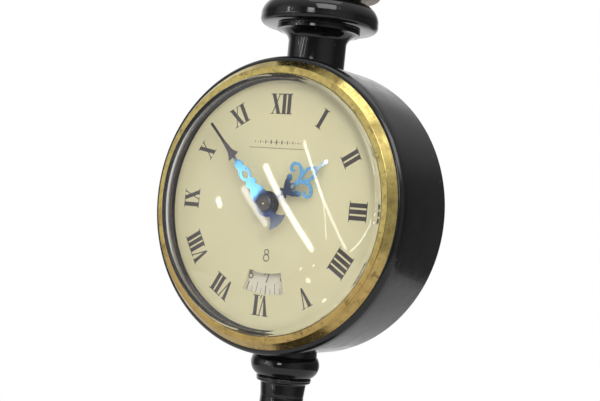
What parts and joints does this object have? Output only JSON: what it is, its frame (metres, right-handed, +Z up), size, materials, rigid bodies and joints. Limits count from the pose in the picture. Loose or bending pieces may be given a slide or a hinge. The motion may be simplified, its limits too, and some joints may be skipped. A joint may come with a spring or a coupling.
{
  "type": "miniature street clock",
  "caption": "Miniature street clock: a round foot and turned post carry a drum clock with domed crystal, day window, blued hands and a small lantern on top.",
  "frame": {"origin": "centre of the foot's underside, on the post's axis, on the table", "axes": "+Z up the post, the dial faces -Y, +X to the right of the dial"},
  "size_m": [0.096, 0.096, 0.2906],
  "materials": {
    "black_lacquer": "gloss black lacquer",
    "gilt": "gilt, brushed, worn along the edges",
    "aged_brass": "aged and dull",
    "brass": "satin",
    "dial_cream": "matt cream",
    "day_white": "matt white",
    "dark_wall": "satin black",
    "blued_steel": "blued and polished",
    "steel": "polished",
    "spring_steel": "blued",
    "crystal_clear": "clear and polished",
    "frosted_glass": "frosted",
    "ruby": "polished",
    "gasket_rubber": "matt",
    "felt": "felt",
    "cast_iron": "as cast"
  },
  "bodies": {
    "root": {"base_foot": "black_lacquer", "base_felt": "felt", "base_weight": "cast_iron", "tie_rod": "steel", "pedestal": "black_lacquer", "column": "black_lacquer", "column_capital": "black_lacquer", "rod_nuts": "steel", "neck": "black_lacquer", "lantern_rod": "steel", "lantern_tray": "aged_brass", "lantern_frame": "aged_brass", "lantern_panes": "frosted_glass", "lantern_lamp": "frosted_glass", "lantern_roof": "black_lacquer", "lantern_finial": "gilt", "drum_shell": "black_lacquer", "back_cover": "black_lacquer", "back_cover_screws": "steel", "bezel": "gilt", "crystal": "crystal_clear", "crystal_gasket": "gasket_rubber", "dial_ring": "dark_wall", "dial": "dial_cream", "day_ring_seat": "brass", "movement_ring": "brass", "movement_screws": "steel", "front_plate": "brass", "back_plate": "brass", "plate_pillars": "brass", "plate_screws": "steel", "jewels": "ruby", "click_spring": "spring_steel", "hairspring": "spring_steel", "balance_cock": "brass", "day_jumper": "steel"},
    "minute_arbor": {"cannon_pinion": "steel", "minute_hand": "blued_steel", "hand_cap": "dark_wall", "setting_knob": "brass"},
    "hour_pipe": {"hour_wheel": "brass", "hour_hand": "blued_steel"},
    "minute_wheel": {"minute_wheel": "brass"},
    "day_driver": {"day_driver": "brass"},
    "day_ring": {"day_ring": "day_white"},
    "fourth_wheel": {"fourth_wheel": "brass"},
    "escape_wheel": {"escape_wheel": "steel"},
    "third_wheel": {"third_wheel": "brass"},
    "centre_wheel": {"centre_wheel": "brass"},
    "intermediate_wheel": {"intermediate_wheel": "brass"},
    "barrel": {"barrel": "brass", "barrel_cover": "brass", "mainspring": "spring_steel"},
    "winding_arbor": {"barrel_arbor": "steel", "ratchet_wheel": "steel", "winding_key": "brass"},
    "click": {"click": "steel"},
    "pallet_fork": {"pallet_fork": "steel"},
    "balance_wheel": {"balance_wheel": "brass"},
    "regulator": {"regulator": "steel"}
  },
  "joints": [
    {"name": "hands_turn", "type": "hinge", "parent": "root", "child": "minute_arbor", "pos_m": [0, -0.009, 0.165], "axis": [0, 1, 0], "continuous": true},
    {"name": "hour_hand_turn", "type": "hinge", "parent": "root", "child": "hour_pipe", "pos_m": [0, -0.01, 0.165], "axis": [0, 1, 0], "continuous": true},
    {"name": "minute_wheel_turn", "type": "hinge", "parent": "root", "child": "minute_wheel", "pos_m": [0.00432, -0.009, 0.17248], "axis": [0, 1, 0], "continuous": true},
    {"name": "day_driver_turn", "type": "hinge", "parent": "root", "child": "day_driver", "pos_m": [-0.00332, -0.011, 0.15587], "axis": [0, 1, 0], "continuous": true},
    {"name": "day_ring_turn", "type": "hinge", "parent": "root", "child": "day_ring", "pos_m": [0, -0.0124, 0.165], "axis": [0, 1, 0], "continuous": true},
    {"name": "train_turn", "type": "hinge", "parent": "root", "child": "fourth_wheel", "pos_m": [0.01068, 0, 0.16049], "axis": [0, 1, 0], "continuous": true},
    {"name": "escape_wheel_turn", "type": "hinge", "parent": "root", "child": "escape_wheel", "pos_m": [0.00573, 0, 0.15459], "axis": [0, 1, 0], "continuous": true},
    {"name": "third_wheel_turn", "type": "hinge", "parent": "root", "child": "third_wheel", "pos_m": [0.00863, 0, 0.16814], "axis": [0, 1, 0], "continuous": true},
    {"name": "centre_wheel_turn", "type": "hinge", "parent": "root", "child": "centre_wheel", "pos_m": [0, 0, 0.165], "axis": [0, 1, 0], "continuous": true},
    {"name": "intermediate_wheel_turn", "type": "hinge", "parent": "root", "child": "intermediate_wheel", "pos_m": [-0.00883, -0.004, 0.17294], "axis": [0, 1, 0], "continuous": true},
    {"name": "barrel_turn", "type": "hinge", "parent": "root", "child": "barrel", "pos_m": [-0.01297, -0.001, 0.16028], "axis": [0, 1, 0], "continuous": true},
    {"name": "winding", "type": "hinge", "parent": "root", "child": "winding_arbor", "pos_m": [-0.01297, 0, 0.16028], "axis": [0, 1, 0], "range_deg": [-2400, 0]},
    {"name": "click_lift", "type": "hinge", "parent": "root", "child": "click", "pos_m": [-0.00837, 0.005, 0.16825], "axis": [0, 1, 0], "range_deg": [-8, 0], "stiffness_Nm_per_rad": 0.00001},
    {"name": "fork_swing", "type": "hinge", "parent": "root", "child": "pallet_fork", "pos_m": [0.00136, 0, 0.15141], "axis": [0, 1, 0], "range_deg": [-4, 4]},
    {"name": "balance_swing", "type": "hinge", "parent": "root", "child": "balance_wheel", "pos_m": [-0.004, 0.005, 0.1475], "axis": [0, 1, 0], "range_deg": [-270, 270], "stiffness_Nm_per_rad": 0.0000022},
    {"name": "regulator_turn", "type": "hinge", "parent": "root", "child": "regulator", "pos_m": [-0.004, 0.008, 0.1475], "axis": [0, 1, 0], "range_deg": [-18, 18]}
  ],
  "couplings": [
    {"joint": "hour_hand_turn", "follows": "hands_turn", "ratio": 0.083333},
    {"joint": "minute_wheel_turn", "follows": "hands_turn", "ratio": -0.33333},
    {"joint": "day_driver_turn", "follows": "hands_turn", "ratio": -0.041667},
    {"joint": "escape_wheel_turn", "follows": "train_turn", "ratio": -10},
    {"joint": "third_wheel_turn", "follows": "train_turn", "ratio": -0.125},
    {"joint": "centre_wheel_turn", "follows": "train_turn", "ratio": 0.016667},
    {"joint": "intermediate_wheel_turn", "follows": "train_turn", "ratio": -0.0037037},
    {"joint": "barrel_turn", "follows": "train_turn", "ratio": 0.0005787}
  ]
}
